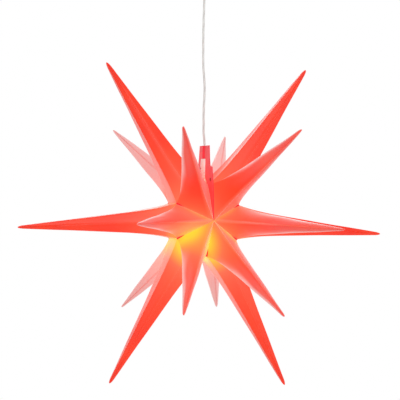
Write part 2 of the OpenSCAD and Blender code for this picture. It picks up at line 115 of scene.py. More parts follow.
# Cable
CABLE_R = 1.75
RUN_GAP = 0.3
GRIP_MOUTH = -53
SWING_Z = GRIP_MOUTH - CABLE_R - RUN_GAP
TILT_Z = -DROP + TAB_TOP + CABLE_R + RUN_GAP
# The free drop's way: [sideways, backwards, share of the way down]
WAY = [
    [0, 0, 0], [0, 0, 0.03], [-0.5, 0, 0.08], [-1, 0, 0.15], [-1.5, 0, 0.22], [-2, 0, 0.3],
    [-2, 0.5, 0.4], [-2, 0.5, 0.48], [-1.5, 0, 0.53], [-0.5, 0, 0.58], [0, 0, 0.63], [0, 0, 0.67],
    [-0.5, 0, 0.71], [-1, 0, 0.75], [-1.5, 0, 0.8], [-1.5, 0, 0.86], [-1.5, 0, 0.92],
    [-0.5, 0, 0.97], [0, 0, 1],
]

TAB_MIDDLE = (TAB_TOP + TAB_BOTTOM) / 2
STAR_CENTRE = np.array([-TAB_MIDDLE * math.sin(math.radians(STAR_LEAN)), 0, -DROP])


# Shapes and pieces

def mix(a, b, share):
    """The point that lies the given share of the way from a to b."""
    return a + (b - a) * share


LEAST_LENGTH = 1e-9


def unit(v):
    """Each vector over its own length, or over the least length where it has none."""
    return v / np.maximum(np.linalg.norm(v, axis=-1, keepdims=True), LEAST_LENGTH)


def smooth_step(x):
    """Three x squared less two x cubed, for x held between 0 and 1."""
    x = np.clip(x, 0, 1)
    return x * x * (3 - 2 * x)


def grid_faces(rows, cols, closed=False):
    """Quads between neighbouring rows and columns; the last column joins the first if closed."""
    i, j = np.meshgrid(np.arange(rows - 1), np.arange(cols if closed else cols - 1), indexing="ij")
    k = (j + 1) % cols
    quads = np.stack([i * cols + j, i * cols + k, (i + 1) * cols + k, (i + 1) * cols + j], -1)
    return quads.reshape(-1, 4)


class Mould:
    """Collects grids of points with their per-point values, and turns them into one mesh."""

    def __init__(self):
        """Starts empty."""
        self.points, self.quads, self.values, self.count = [], [], {}, 0

    def grid(self, points, closed=False, **values):
        """Adds rows and columns of points; a value that isn't given is 0 on them."""
        rows, cols = points.shape[:2]
        self.quads.append(grid_faces(rows, cols, closed) + self.count)
        self.points.append(points.reshape(-1, 3))
        for name in dict.fromkeys([*self.values, *values]):
            field = np.broadcast_to(values.get(name, 0.0), (rows, cols)).reshape(-1)
            self.values.setdefault(name, [np.zeros(self.count)] if self.count else []).append(field)
        self.count += rows * cols

    def piece(self, name, merge=0.02, sharp=40):
        """Merges points closer than merge, drops what is flat, faces all outwards, and smooths all
        edges but those that turn by more than sharp degrees."""
        mesh = bpy.data.meshes.new(name)
        points, quads = np.concatenate(self.points) * MM, np.concatenate(self.quads)
        mesh.from_pydata(points.tolist(), [], quads.tolist())
        for key, parts in self.values.items():
            layer = mesh.attributes.new(key, "FLOAT", "POINT")
            layer.data.foreach_set("value", np.concatenate(parts).astype(np.float32))
        work = bmesh.new()
        work.from_mesh(mesh)
        bmesh.ops.remove_doubles(work, verts=work.verts, dist=merge * MM)
        bmesh.ops.dissolve_degenerate(work, dist=merge * MM / 4, edges=work.edges)
        bmesh.ops.recalc_face_normals(work, faces=work.faces)
        work.to_mesh(mesh)
        work.free()
        mesh.shade_smooth()
        mesh.set_sharp_from_angle(angle=math.radians(sharp))
        obj = bpy.data.objects.new(name, mesh)
        bpy.context.scene.collection.objects.link(obj)
        return obj


def outfit(name, mould, paint, body, merge=0.001, sharp=50):
    """Turns a mould into the piece that stands for the solid its name starts with."""
    piece = mould.piece(name, merge, sharp)
    piece.data.materials.append(paint)
    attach(piece, body)
    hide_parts(name.rsplit("_", 1)[0])
    return piece


# Materials

def linear(code):
    """An sRGB hex colour as linear red, green, blue and an alpha of 1."""
    raw = np.array([int(code[k:k + 2], 16) for k in (1, 3, 5)]) / 255
    return (*np.where(raw <= 0.04045, raw / 12.92, ((raw + 0.055) / 1.055) ** 2.4), 1.0)


def wire(tree, node, **inputs):
    """Sets each input of a node, or links it to an output socket. i and a number is an input by its
    place, and any other key is its name, with _ for each space."""
    for key, value in inputs.items():
        socket = node.inputs[int(key[1:]) if key[0] == "i" and key[1:].isdigit() else key.replace("_", " ")]
        if isinstance(value, bpy.types.NodeSocket):
            tree.links.new(value, socket)
        else:
            socket.default_value = value


def add(tree, kind, fields=None, **inputs):
    """Adds a node, sets its fields, and wires its inputs."""
    node = tree.nodes.new(kind)
    for key, value in (fields or {}).items():
        setattr(node, key, value)
    wire(tree, node, **inputs)
    return node


def ramp(tree, factor, stops):
    """A colour ramp from (place, hex colour) stops, read at factor."""
    node = add(tree, "ShaderNodeValToRGB", i0=factor)
    for _ in range(len(stops) - 2):
        node.color_ramp.elements.new(0.5)
    for element, (place, code) in zip(node.color_ramp.elements, stops):
        element.position, element.color = place, linear(code)
    return node.outputs[0]


def material(name):
    """A new material with an empty Principled shader: the material, its tree and the shader."""
    made = bpy.data.materials.new(name)
    made.use_nodes = True
    return made, made.node_tree, made.node_tree.nodes["Principled BSDF"]


def noise(tree, size_mm, detail=2.0, stretch=(1, 1, 1)):
    """Noise on Object coordinates whose blobs are about size_mm across, stretched by the given shares."""
    place = add(tree, "ShaderNodeTexCoord").outputs["Object"]
    scaled = add(tree, "ShaderNodeMapping", Vector=place, Scale=stretch).outputs[0]
    blobs = add(tree, "ShaderNodeTexNoise", Vector=scaled, Scale=1 / (size_mm * MM), Detail=detail)
    return blobs.outputs["Fac"]


def mottled(tree, factor, dark, light, low=0.35, high=0.65):
    """A colour that wanders between two hex colours with the noise."""
    return ramp(tree, factor, [(low, dark), (high, light)])


def bumped(tree, shader, height, distance_mm, strength=1.0):
    """Bump from a height field of the given depth."""
    bump = add(tree, "ShaderNodeBump", Height=height, Distance=distance_mm * MM, Strength=strength)
    wire(tree, shader, Normal=bump.outputs[0])


def star_film():
    """Polypropylene film, calendered and satin: deep red with a slow change of tone, whitened where it
    is welded and with a painted highlight along those edges, paled towards pink by painted backlight, and
    lit through by the lamp. Four values come with the mesh: weld, the whitened edges with their painted
    highlight; the painted backlight from the bright room behind; layers, the doubled film; and glow, the
    lamp's light."""
    made, tree, shader = material("calendered_polypropylene_film")
    weld, haze, layers, glow = (
        add(tree, "ShaderNodeAttribute", {"attribute_name": name}).outputs["Fac"]
        for name in ("weld", "haze", "layers", "glow"))
    single = mottled(tree, noise(tree, 60), "#F62709", "#FD370F")
    doubled = mottled(tree, noise(tree, 25), "#F22A3E", "#FC3848")
    colour, blend = single, {"data_type": "RGBA"}
    # The pale pink #FBC8C6 is painted backlight; the weld colour #FF6A52 is the film's whitening with a
    # painted highlight on it
    for share, other in ((haze, linear("#FBC8C6")), (layers, doubled), (weld, linear("#FF6A52"))):
        colour = add(tree, "ShaderNodeMix", blend, Factor=share, i6=colour, i7=other).outputs[2]
    lit = ramp(tree, glow, [(0.0, "#000000"), (0.12, "#5A1C08"), (0.45, "#C86446"), (1.0, "#FFD234")])
    dull = add(tree, "ShaderNodeMapRange", Value=layers, To_Min=0.35, To_Max=0.6).outputs[0]
    wire(tree, shader, Base_Color=colour, Emission_Color=lit, Emission_Strength=1.0, Roughness=dull,
         IOR=1.5, Sheen_Weight=0.4, Sheen_Roughness=0.3)
    bumped(tree, shader, noise(tree, 30, 1.0), 0.1, 0.3)
    return made


def moulded_plastic(name, dark, light, roughness, grain_mm=0.6, depth_mm=0.01):
    """Injection moulded plastic: nearly even colour with a fine spark-eroded grain from the mould, which
    is drawn a few times coarser than the real one so that it shows. It also stands for the printed mask
    on the LED board."""
    made, tree, shader = material(name)
    wire(tree, shader, Base_Color=mottled(tree, noise(tree, 15), dark, light), Roughness=roughness, IOR=1.53)
    bumped(tree, shader, noise(tree, grain_mm), depth_mm, 0.3)
    return made


def cable_sheath():
    """Extruded clear PVC over two white cores with a slow lay: faint grey bands wind round the cable."""
    made, tree, shader = material("extruded_clear_pvc")
    place = add(tree, "ShaderNodeAttribute", {"attribute_name": "lay"}).outputs["Fac"]
    bands = ramp(tree, place, [(0.0, "#CCCBC8"), (0.5, "#D8D7D4"), (1.0, "#E2E1DD")])
    wire(tree, shader, Base_Color=bands, Roughness=0.28, IOR=1.53, Coat_Weight=0.4, Coat_Roughness=0.15)
    return made


def drawn_metal(name, dark, light, roughness, grain_mm=0.4):
    """Metal with rolling marks round its axis: colour and height wander slowly one way and fast the
    other. The marks are drawn coarser than the real ones so that they show."""
    made, tree, shader = material(name)
    marks = noise(tree, grain_mm, 3.0, (0.15, 0.15, 1))
    wire(tree, shader, Base_Color=mottled(tree, marks, dark, light), Metallic=1.0, Roughness=roughness)
    bumped(tree, shader, marks, 0.01, 0.3)
    return made


def lit_opal():
    """Opal polycarbonate, blow moulded: milky, and lit evenly from inside by the LEDs' warm light."""
    made, tree, shader = material("blow_moulded_opal_polycarbonate")
    wire(tree, shader, Base_Color=mottled(tree, noise(tree, 8), "#FFF4DC", "#FFF8E6"),
         Emission_Color=linear("#FFDF9A"), Emission_Strength=2.5, Roughness=0.45)
    return made


def silicone():
    """Moulded silicone rubber: dull grey, slightly dusty."""
    made, tree, shader = material("moulded_silicone_rubber")
    wire(tree, shader, Base_Color=mottled(tree, noise(tree, 3), "#8E8E8C", "#A6A6A3"), Roughness=0.65,
         IOR=1.43)
    bumped(tree, shader, noise(tree, 0.8), 0.02, 0.4)
    return made


def phosphor():
    """Phosphor in silicone over the LED dies: yellow, lit."""
    made, tree, shader = material("cast_phosphor_silicone")
    wire(tree, shader, Base_Color=mottled(tree, noise(tree, 0.5), "#F2C24A", "#FFD766"),
         Emission_Color=linear("#FFE2A0"), Emission_Strength=6.0, Roughness=0.5)
    return made


FILM = star_film()
STUD_PLASTIC = moulded_plastic("moulded_acetal_red", "#B31A20", "#C42228", 0.32)
CABLE = cable_sheath()
WHITE_ABS = moulded_plastic("moulded_abs_white", "#EFEDE6", "#F6F4EE", 0.30)
HOUSING_PBT = moulded_plastic("moulded_pbt_white", "#E9E8E3", "#F2F1EC", 0.42)
BRASS = drawn_metal("pressed_brass", "#C79B45", "#DDB765", 0.28)
NICKEL = drawn_metal("rolled_nickel_plate", "#BDBDBA", "#D6D5D1", 0.25)
ZINC = drawn_metal("zinc_plated_steel", "#A9ABAE", "#C4C6C8", 0.35)
OPAL = lit_opal()
SEAL = silicone()
PHOSPHOR = phosphor()
BOARD = moulded_plastic("white_solder_mask", "#E6EAE4", "#EFF2EC", 0.35)


# Camera: 4.15 m before the star, a little to its left, level with its centre

AZIMUTH = -13.65
ELEVATION = 0.44
# In metres
CAMERA_DISTANCE = 4.146
FOCAL_MM = 244.05
SENSOR_MM = 36
IMAGE_PX = 400
# Where the star's centre stands in the image, from its top left
CENTRE_PX = (202.97, 220.21)


def make_camera():
    """Stands off the star's centre along the view, and aims so that the centre falls on its pixel."""
    a, e = math.radians(AZIMUTH), math.radians(ELEVATION)
    back = Vector((math.sin(a) * math.cos(e), -math.cos(a) * math.cos(e), math.sin(e)))
    right = Vector((math.cos(a), math.sin(a), 0))
    up = back.cross(right)
    centre = Vector(STAR_CENTRE * MM)
    pixel = CAMERA_DISTANCE * SENSOR_MM / (FOCAL_MM * IMAGE_PX)
    off_x, off_y = (IMAGE_PX / 2 - place for place in CENTRE_PX)
    aim = centre + right * off_x * pixel - up * off_y * pixel
    data = bpy.data.cameras.new("camera")
    data.lens, data.sensor_width = FOCAL_MM, SENSOR_MM
    camera = bpy.data.objects.new("camera", data)
    camera.location = centre + back * CAMERA_DISTANCE
    camera.rotation_euler = (aim - camera.location).to_track_quat("-Z", "Y").to_euler()
    bpy.context.scene.collection.objects.link(camera)
    bpy.context.scene.camera = camera


make_camera()


# Cable

TUBE_SIDES = 24
CAP_STEPS = 6
SPAN_STEPS = 5
# The two cores wind once round each other in this length
LAY_MM = 38


def eased(points, steps):
    """A smooth line through the points: each span is a cubic whose end slopes follow its neighbours."""
    p = np.concatenate([[2 * points[0] - points[1]], points, [2 * points[-1] - points[-2]]])
    t = (np.arange(steps) / steps)[None, :, None]
    a, b, c, d = (p[k:len(p) - 3 + k, None] for k in range(4))
    bend, twist = 2 * a - 5 * b + 4 * c - d, 3 * b - a - 3 * c + d
    line = 0.5 * (2 * b + (c - a) * t + bend * t ** 2 + twist * t ** 3)
    return np.concatenate([line.reshape(-1, 3), points[-1:]])


def dome(steps):
    """Height and radius of a half ball from its pole to its rim, as shares of its radius."""
    turn = np.linspace(0, math.pi / 2, steps)
    return np.stack([np.cos(turn), np.sin(turn)], -1)


def cable_piece(name, line, round_ends, body):
    """A tube of level rings along a line that runs down, with half balls or flat discs as its ends. Its
    lay value goes up and down twice round each ring, and winds down the tube with the cores."""
    ends = dome(CAP_STEPS)[:-1] if round_ends else np.array([[0.0, 0.0]])
    rise = ends[:, :1] * [0, 0, CABLE_R]
    centres = np.concatenate([line[0] + rise, line, (line[-1] - rise)[::-1]])
    radii = np.concatenate([ends[:, 1], np.ones(len(line)), ends[::-1, 1]]) * CABLE_R
    turn = np.linspace(0, 2 * math.pi, TUBE_SIDES, endpoint=False)
    ring = np.stack([np.cos(turn), np.sin(turn), np.zeros(TUBE_SIDES)], -1)
    lay = 0.5 + 0.5 * np.cos(2 * (turn[None] - 2 * math.pi * centres[:, 2:] / LAY_MM))
    mould = Mould()
    mould.grid(centres[:, None] + ring[None] * radii[:, None, None], closed=True, lay=lay)
    return outfit(name, mould, CABLE, body, sharp=40), centres


def drop_line():
    """The chosen points of the free drop, from the cord grip down to the star's tab."""
    way = np.array(WAY, float)
    return np.stack([way[:, 0], way[:, 1], mix(SWING_Z, TILT_Z, way[:, 2])], -1)


def straight(top, foot, steps=24):
    """Points straight down the middle line."""
    return np.stack([np.zeros(steps), np.zeros(steps), np.linspace(top, foot, steps)], -1)


def make_cables():
    """The free drop, its lead-in through the cord grip and its tail in the lamp holder's neck."""
    drop, centres = cable_piece("cable_drop_sheath", eased(drop_line(), SPAN_STEPS), True, "cable")
    for name, body in (("cable_lead_in", "ceiling"), ("cable_tail", "lamp_holder")):
        low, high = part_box(name)
        cable_piece(name + "_sheath", straight(high.z / MM, low.z / MM), False, body)


make_cables()


# Film star: each sheet is half a lobe, with a front, a middle and a rear spike. A sheet's own points
# are [outwards, towards its side, backwards].

# Rings round a spike's tip and along it, and ribs of a middle spike beside the closure
TIP_STEPS = 6
RING_STEPS = 32
SEAM_RIBS = 13
# The lip on a welded edge: width, thickness, the lengths over which it rises, and columns that it adds
LIP = 0.8
LIP_T = 0.22
LIP_TIP_RUN = 12
LIP_ROOT_RUN = 7
LIP_COLUMNS = 2
# A middle spike's folds reach this far from a rib, but not past this share of the film beside it
FOLD_CUT = 1.4
FOLD_SHARE = 0.4
FOLD_STEPS = 3
FLAT_STEPS = 5
# The section of a front or rear spike at its tip, from 0, two straight flanks, to 1, a full pod, and the
# power by which it straightens to the root
POD = 0.62
POD_POWER = 3
POD_STEPS = 12
# Waves in the film: height, half waves along a spike, and their shift by spike and across the section
WAVE_MM = 0.2
WAVES = 5
WAVE_SHIFT = 1.7
WAVE_SKEW = 5


def side_of(n):
    """1 for the sheet on its lobe's counterclockwise side, -1 for the other."""
    return 1 if n % 2 else -1


def at_seam(n):
    """Whether the sheet lies beside the closure."""
    return n in (1, SHEETS)


def lobe_turn(n):
    """Where the sheet's lobe points, counterclockwise from +X: the first lobe half the closure's angle
    from straight up, and each next one a step further clockwise."""
    return math.radians(90 - CLOSURE_ANGLE / 2 - (n - 1) // 2 * LOBE_STEP)


def half_gap(n):
    """Half the angle from the sheet's lobe to the one beside the sheet."""
    return math.radians((CLOSURE_ANGLE if at_seam(n) else LOBE_STEP) / 2)


def inset(p, depth):
    """The point moved towards the centre by depth."""
    return p * (1 - depth / np.linalg.norm(p))


def notch(end, wall):
    """Where a middle spike and its neighbour part: on the line halfway between their directions."""
    turn = math.atan2(END_DEPTH, END_REACH) / 2
    reach = NOTCH_REACH - NOTCH_SLANT * wall
    return np.array([reach * math.cos(turn), 0, end * reach * math.sin(turn)])


def corner(n, end, wall):
    """Where the valley turns: on the plane halfway to the next lobe."""
    g = half_gap(n)
    return inset(np.array([CORNER_REACH * math.cos(g), CORNER_REACH * math.sin(g), end * CORNER_DEPTH]),
                 CORNER_SLANT * wall)


def pole(end, wall):
    """Where all lobes meet at the front or the rear."""
    return np.array([0, 0, end * (POLE_DEPTH - POLE_SLANT * wall)])


def middle_ribs(n):
    """The ribs of a middle spike between its two valley corners: share from the front corner to the
    rear one, and opening at the valley; a sheet at the closure also leaves room for the holder's neck."""
    if at_seam(n):
        share = np.linspace(0, 1, SEAM_RIBS)
        return share, NECK_OPENING * np.sin(math.pi * share) + SLIT_HALF
    return np.array([0, 1 - SLIT_END, 0.5, SLIT_END, 1]), np.array([SLIT_HALF, 0, 0, 0, SLIT_HALF])


def spike_rings(length):
    """Shares of a spike's length: a quarter circle's steps round the tip, then even steps to the root."""
    turn = np.linspace(0, math.pi / 2, TIP_STEPS)
    tip = TIP_ROUND / length * (1 - np.cos(turn))
    return np.concatenate([tip, mix(tip[-1], 1, np.linspace(0, 1, RING_STEPS)[1:])])


def rib(tip, root, rings, half):
    """A rib from a tip: it runs straight along the spike, starts with a quarter ellipse to its half
    width, widens evenly and gains the flare's share by the eighth power near its root."""
    along = -unit(tip)
    run = (root - tip) @ along
    across = root - tip - run * along
    near = np.clip(rings * run / TIP_ROUND, 0, 1)
    blunt = np.sqrt(1 - (1 - near) ** 2)
    g = (1 - FLARE) * rings + FLARE * rings ** FLARE_POWER
    wide = g + (1 - g) * blunt * half / np.linalg.norm(across)
    return tip + along * (run * rings)[:, None] + across * wide[:, None]


def spike_points(n, spike, wall):
    """Points on rings by columns: the section over the ribs of the spike, opened at the valley by the
    sixth power of the ring's share, and bent towards where the tip strays."""
    end = spike - 1
    tip = np.array([END_REACH, 0, end * END_DEPTH]) if end else np.array([MIDDLE_REACH, 0, 0])
    rings = spike_rings(np.linalg.norm(tip) - NOTCH_REACH)
    tip = inset(tip, TIP_SLANT * wall)
    half = (END_TIP_HALF if end else MIDDLE_TIP_HALF) - RIB_SLANT * wall
    away = np.array([math.sin(half_gap(n)), -math.cos(half_gap(n)), 0])
    gone = rings[:, None, None] ** OPEN_POWER
    if end:
        roots = [pole(end, wall), corner(n, end, wall), notch(end, wall)][::-end]
        points, slit = arched(np.stack([rib(tip, root, rings, half) for root in roots], 1), rings, end)
        points = points + away * (slit * SLIT_HALF)[None, :, None] * gone
    else:
        share, opening = middle_ribs(n)
        a, b = (rib(tip, corner(n, side, wall), rings, half)[:, None] for side in (-1, 1))
        sides = mix(a, b, share[None, :, None]) + away * opening[None, :, None] * gone
        welds = [rib(tip, notch(side, wall), rings, half)[:, None] for side in (-1, 1)]
        points = creased(np.concatenate([welds[0], sides, welds[1]], 1), rings)
    out, side = STRAY[(n - 1) // 2][spike]
    stray = np.array([out, side_of(n) * side, 0]) * ((1 - rings) ** BEND_POWER)[:, None, None]
    return waved(points, rings, 3 * n + spike) + stray


def normals(points):
    """Unit normals of a grid, from its slopes along and across; the last ring, where folds shrink to
    points, takes those of the ring before it."""
    normal = unit(np.cross(np.gradient(points, axis=0), np.gradient(points, axis=1)))
    normal[-1] = normal[-2]
    return normal


def outwards(points):
    """Unit normals of a sheet's grid, all turned to the side that looks away from its middle line."""
    normal = normals(points)
    middle = (points[:, :1] + points[:, -1:]) / 2
    return normal * np.sign((normal * (points - middle)).sum())


def arched(ribs, rings, end):
    """The section of a front or rear spike, a pod: from each weld the film rises in a parabola to its
    widest place over the corner's rib, where it runs level with the lobe's plane. Towards the root the
    parabolas straighten and leave a crease at the corner."""
    if end > 0:
        ribs = ribs[:, ::-1]
    top, wide, foot = ribs[:, 0, None], ribs[:, 1, None], ribs[:, 2, None]
    chord = unit(foot - top)
    swell = (POD * (1 - rings ** POD_POWER) ** 2)[:, None, None]
    t = np.linspace(0, 1, POD_STEPS + 1)[None, :, None]
    front = wide - chord * ((wide - top) * chord).sum(-1, keepdims=True) * swell
    rear = wide + chord * ((foot - wide) * chord).sum(-1, keepdims=True) * swell
    first = (1 - t) ** 2 * top + 2 * t * (1 - t) * front + t ** 2 * wide
    second = ((1 - t) ** 2 * wide + 2 * t * (1 - t) * rear + t ** 2 * foot)[:, 1:]
    line = 1 - (1 - t[0, :, 0]) ** 2
    slit = np.concatenate([np.clip((line - SLIT_END) / (1 - SLIT_END), 0, 1), (1 - t[0, 1:, 0] ** 2)])
    points = np.concatenate([first, second], 1)
    return (points[:, ::-1], slit[::-1]) if end > 0 else (points, slit)


def creased(ribs, rings):
    """The section of a middle spike: between two ribs the film is flat, and over each inner rib it
    bends round in a parabola that shrinks to nothing at the root."""
    fade = 1 - rings[:, None] ** FOLD_POWER
    count = ribs.shape[1]
    spans = np.linalg.norm(np.diff(ribs, axis=1), axis=-1)
    cuts = np.zeros((len(rings), count))
    cuts[:, 1:-1] = np.minimum(FOLD_CUT, FOLD_SHARE * np.minimum(spans[:, :-1], spans[:, 1:])) * fade
    t = np.linspace(0, 1, FOLD_STEPS + 1)[None, :, None]
    u = np.linspace(0, 1, FLAT_STEPS + 1)[None, :, None]
    parts = []
    for c in range(count):
        if 0 < c < count - 1:
            before = unit(ribs[:, c - 1] - ribs[:, c]) * cuts[:, c:c + 1]
            after = unit(ribs[:, c + 1] - ribs[:, c]) * cuts[:, c:c + 1]
            parts.append(ribs[:, c, None] + (1 - t) ** 2 * before[:, None] + t ** 2 * after[:, None])
        if c < count - 1:
            line = unit(ribs[:, c + 1] - ribs[:, c])
            start, stop = ribs[:, c] + line * cuts[:, c:c + 1], ribs[:, c + 1] - line * cuts[:, c + 1:c + 2]
            parts.append(mix(start[:, None], stop[:, None], u[:, (c > 0):FLAT_STEPS + (c == count - 2)]))
    return np.concatenate(parts, axis=1)


def waved(points, rings, n):
    """Moves the film along its normal by a sine that runs down the spike, is shifted across it, and
    dies away at the welds and at the root."""
    across = np.linspace(0, 1, points.shape[1])[None]
    wave = np.sin(WAVES * math.pi * rings[:, None] + WAVE_SHIFT * n + WAVE_SKEW * across)
    height = WAVE_MM * np.sqrt(np.sin(math.pi * across)) * (1 - rings[:, None] ** WAVE_POWER)
    return points + outwards(points) * (height * wave)[..., None]


def with_lip(points, side):
    """Raises a lip along one welded edge: from the edge it rises by its thickness on the sheet's own
    side, runs inwards by its width, and drops to the film's next column. It tapers out at both ends."""
    edge, inner = (points[:, 0], points[:, 2]) if side == 0 else (points[:, -1], points[:, -3])
    along = unit(np.gradient(edge, axis=0))
    inward = (inner - edge) * [1, 0, 1]
    inward = unit(inward - along * (inward * along).sum(-1, keepdims=True))
    travel = np.concatenate([[0], np.cumsum(np.linalg.norm(np.diff(edge, axis=0), axis=1))])
    taper = smooth_step(travel / LIP_TIP_RUN) * smooth_step((travel[-1] - travel) / LIP_ROOT_RUN)
    lift = np.array([0, 1, 0]) * (taper * LIP_T)[:, None]
    extra = np.stack([edge, edge + lift, edge + inward * (taper * LIP)[:, None] + lift], 1)
    return np.concatenate([extra, points[:, 1:]] if side == 0 else [points[:, :-1], extra[:, ::-1]], 1)


def in_star(n, p):
    """From a sheet's own directions to the scene's, in millimetres: turned to its lobe, leaned and hung."""
    a = lobe_turn(n)
    r, w, y = p[..., 0], side_of(n) * p[..., 1], p[..., 2]
    return lean(np.stack([r * math.cos(a) - w * math.sin(a), y, r * math.sin(a) + w * math.cos(a)], -1))


def lean(p):
    """Turns star points by its lean about its centre and hangs them at their height."""
    cos, sin = math.cos(math.radians(STAR_LEAN)), math.sin(math.radians(STAR_LEAN))
    x, z = p[..., 0], p[..., 2]
    return np.stack([x * cos + z * sin, p[..., 1], z * cos - x * sin], -1) + STAR_CENTRE


# Lamplight on the film

BULB_CENTRE = np.array([0, 0, -DROP - 20])
BULB_REACH = 42
# A warm patch on the front and rear films, round a line that runs front to back below and left of the
# bulb: its light, how far that line lies from the bulb, its reach, and the depth where it sets in
PATCH_LIGHT = 0.36
PATCH_LEFT = 24
PATCH_BELOW = 20
PATCH_REACH = 42
PATCH_DEPTH = 22
PATCH_RUN = 25
# The brightest place, just below the lower left valley: its light, from [x, y, z] to [x, y, z], its reach
HOT_LIGHT = 0.28
HOT_LINE = np.array([[-42, -30, -DROP - 40], [-22, -54, -DROP - 30]])
HOT_REACH = 20
# Light that bounces down the spikes: how much, from where it falls off, and how far it takes
BOUNCED_LIGHT = 0.26
BOUNCED_FROM = 60
BOUNCED_RUN = 110
# The inner face has this much more light than the outer one
INSIDE = 0.35
# Painted backlight on the flanks, a pale pink for the white room shining through them: how much,
# how far a flank's normal may still lean to the pole's side, the span over which it sets in, and the
# same by depth; then on all film towards the tips
BACKLIGHT_PAINT = 0.77
BACKLIGHT_LEAN = 0.25
BACKLIGHT_SPAN = 0.14
BACKLIGHT_DEPTH = 25
BACKLIGHT_RUN = 50
TIP_BACKLIGHT = 0.09
TIP_BACKLIGHT_DEPTH = 90
TIP_BACKLIGHT_RUN = 80
# How pale the welded edges of a front, a middle and a rear spike are: the film's whitening at the weld and a
# painted highlight along the edge
WELD_PALE_AND_HIGHLIGHT = (0.8, 0.25, 0.8)


def bell(distance, reach):
    """A bell curve: e to the power of minus the square of the distance over the reach."""
    return np.exp(-(distance / reach) ** 2)


def lamplight(points):
    """Light that comes through the film, the sum of four: the cosine of the slant to the bulb times the
    square of the bulb's reach over the distance; on the front and rear films a bell curve of the
    distance from the patch's line; a narrower one of the distance from the hot line, on both sides; and
    what bounces down the spikes, which past a distance falls off by the same share in each step."""
    normal = normals(points)
    ray = points - BULB_CENTRE
    far = np.linalg.norm(ray, axis=-1)
    direct = np.abs((normal * ray).sum(-1)) / far * (BULB_REACH / far) ** 2
    deep = smooth_step((np.abs(points[..., 1]) - PATCH_DEPTH) / PATCH_RUN)
    off_line = np.hypot(ray[..., 0] + PATCH_LEFT, ray[..., 2] + PATCH_BELOW)
    patch = PATCH_LIGHT * deep * bell(off_line, PATCH_REACH)
    folded = np.stack([points[..., 0], -np.abs(points[..., 1]), points[..., 2]], -1)
    start, way = HOT_LINE[0], HOT_LINE[1] - HOT_LINE[0]
    share = np.clip(((folded - start) @ way) / (way @ way), 0, 1)
    near = np.linalg.norm(folded - start - share[..., None] * way, axis=-1)
    bounced = BOUNCED_LIGHT * np.exp(-np.maximum(far - BOUNCED_FROM, 0) / BOUNCED_RUN)
    return np.clip(direct + patch + HOT_LIGHT * bell(near, HOT_REACH) + bounced, 0, 1)


def backlight(points, end):
    """Painted backlight: how far the base colour pales as if the white room behind shows through: most
    on the flanks of a front or rear spike that look away from the pole on its side, a little on all its
    film towards the tip, none on middle spikes."""
    if end == 0:
        return np.zeros(points.shape[:2])
    away = smooth_step((BACKLIGHT_LEAN - end * outwards(points)[..., 1]) / BACKLIGHT_SPAN)
    depth = np.abs(points[..., 1])
    return np.maximum(BACKLIGHT_PAINT * away * smooth_step((depth - BACKLIGHT_DEPTH) / BACKLIGHT_RUN),
                      TIP_BACKLIGHT * smooth_step((depth - TIP_BACKLIGHT_DEPTH) / TIP_BACKLIGHT_RUN))


def along_line(corners, count):
    """Points at even steps of length along a line through the corners."""
    p = np.array(corners, float)
    run = np.concatenate([[0], np.cumsum(np.linalg.norm(np.diff(p, axis=0), axis=1))])
    at = np.linspace(0, run[-1], count)
    return np.stack([np.interp(at, run, p[:, k]) for k in range(p.shape[1])], -1)


# Steps of the flange: down the seam, round the arch, up the neck, up the tab and across each part
SEAM_STEPS = 14
ARCH_STEPS = 9
NECK_STEPS = 6
TAB_STEPS = 9
ARM_STEPS = 9
WING_STEPS = 8
CHANNEL_STEPS = 17
# The flange starts this far inside the seam, and the tab's flat wings this far beside the channel
SEAM_LAP = 1
CHANNEL_FOOT = 1.2
# Half the gap between the two films of the flange
FLANGE_GAP = 0.02
# The flange's slight wave: height, how fast it runs up and backwards, and where it dies away
FLANGE_WAVE = 0.14
WAVE_UP = 9
WAVE_BACK = 31
WAVE_TOP_RUN = 30
WAVE_FOOT_RUN = 20


def closure_strips():
    """The flange's flat parts as ruled strips of [backwards, up]: each row runs straight from the inner
    edge, up the seam, round the arch and up beside the neck, to the outer edge of the arm and the tab."""
    half, start = ARM_GAP / 2, CORNER_REACH - SEAM_LAP
    low, high = STEP_HEIGHT - STEP_RISE, STEP_HEIGHT + STEP_RISE
    top = ARCH_Z + math.sqrt(ARCH_R ** 2 - half ** 2)
    turn = np.linspace(math.asin((start - ARCH_Z) / ARCH_R), math.acos(half / ARCH_R), ARCH_STEPS)
    arch = np.stack([ARCH_R * np.cos(turn), ARCH_Z + ARCH_R * np.sin(turn)], -1)
    neck = along_line([[half, top], [half, low]], NECK_STEPS)[1:]
    inner = [along_line([[POLE_DEPTH - SEAM_LAP, 0], [CORNER_DEPTH, start]], SEAM_STEPS),
             np.concatenate([[[CORNER_DEPTH, start]], arch, neck]),
             along_line([[half, low], [half, TAB_BOTTOM]], NECK_STEPS)]
    side = along_line([[STEP_INNER, high], [TAB_W / 2 + TAB_FLARE, TAB_BOTTOM]], NECK_STEPS - 1)
    outer = [along_line([[POLE_DEPTH, 0], [SHOULDER, CORNER_REACH]], SEAM_STEPS),
             along_line([[SHOULDER, CORNER_REACH], [STEP_OUTER, low]], len(inner[1])),
             np.concatenate([[[STEP_OUTER, low]], side])]
    share = np.linspace(0, 1, ARM_STEPS)[None, :, None]
    return [mix(a[:, None], b[:, None], share) for a, b in zip(inner, outer)]


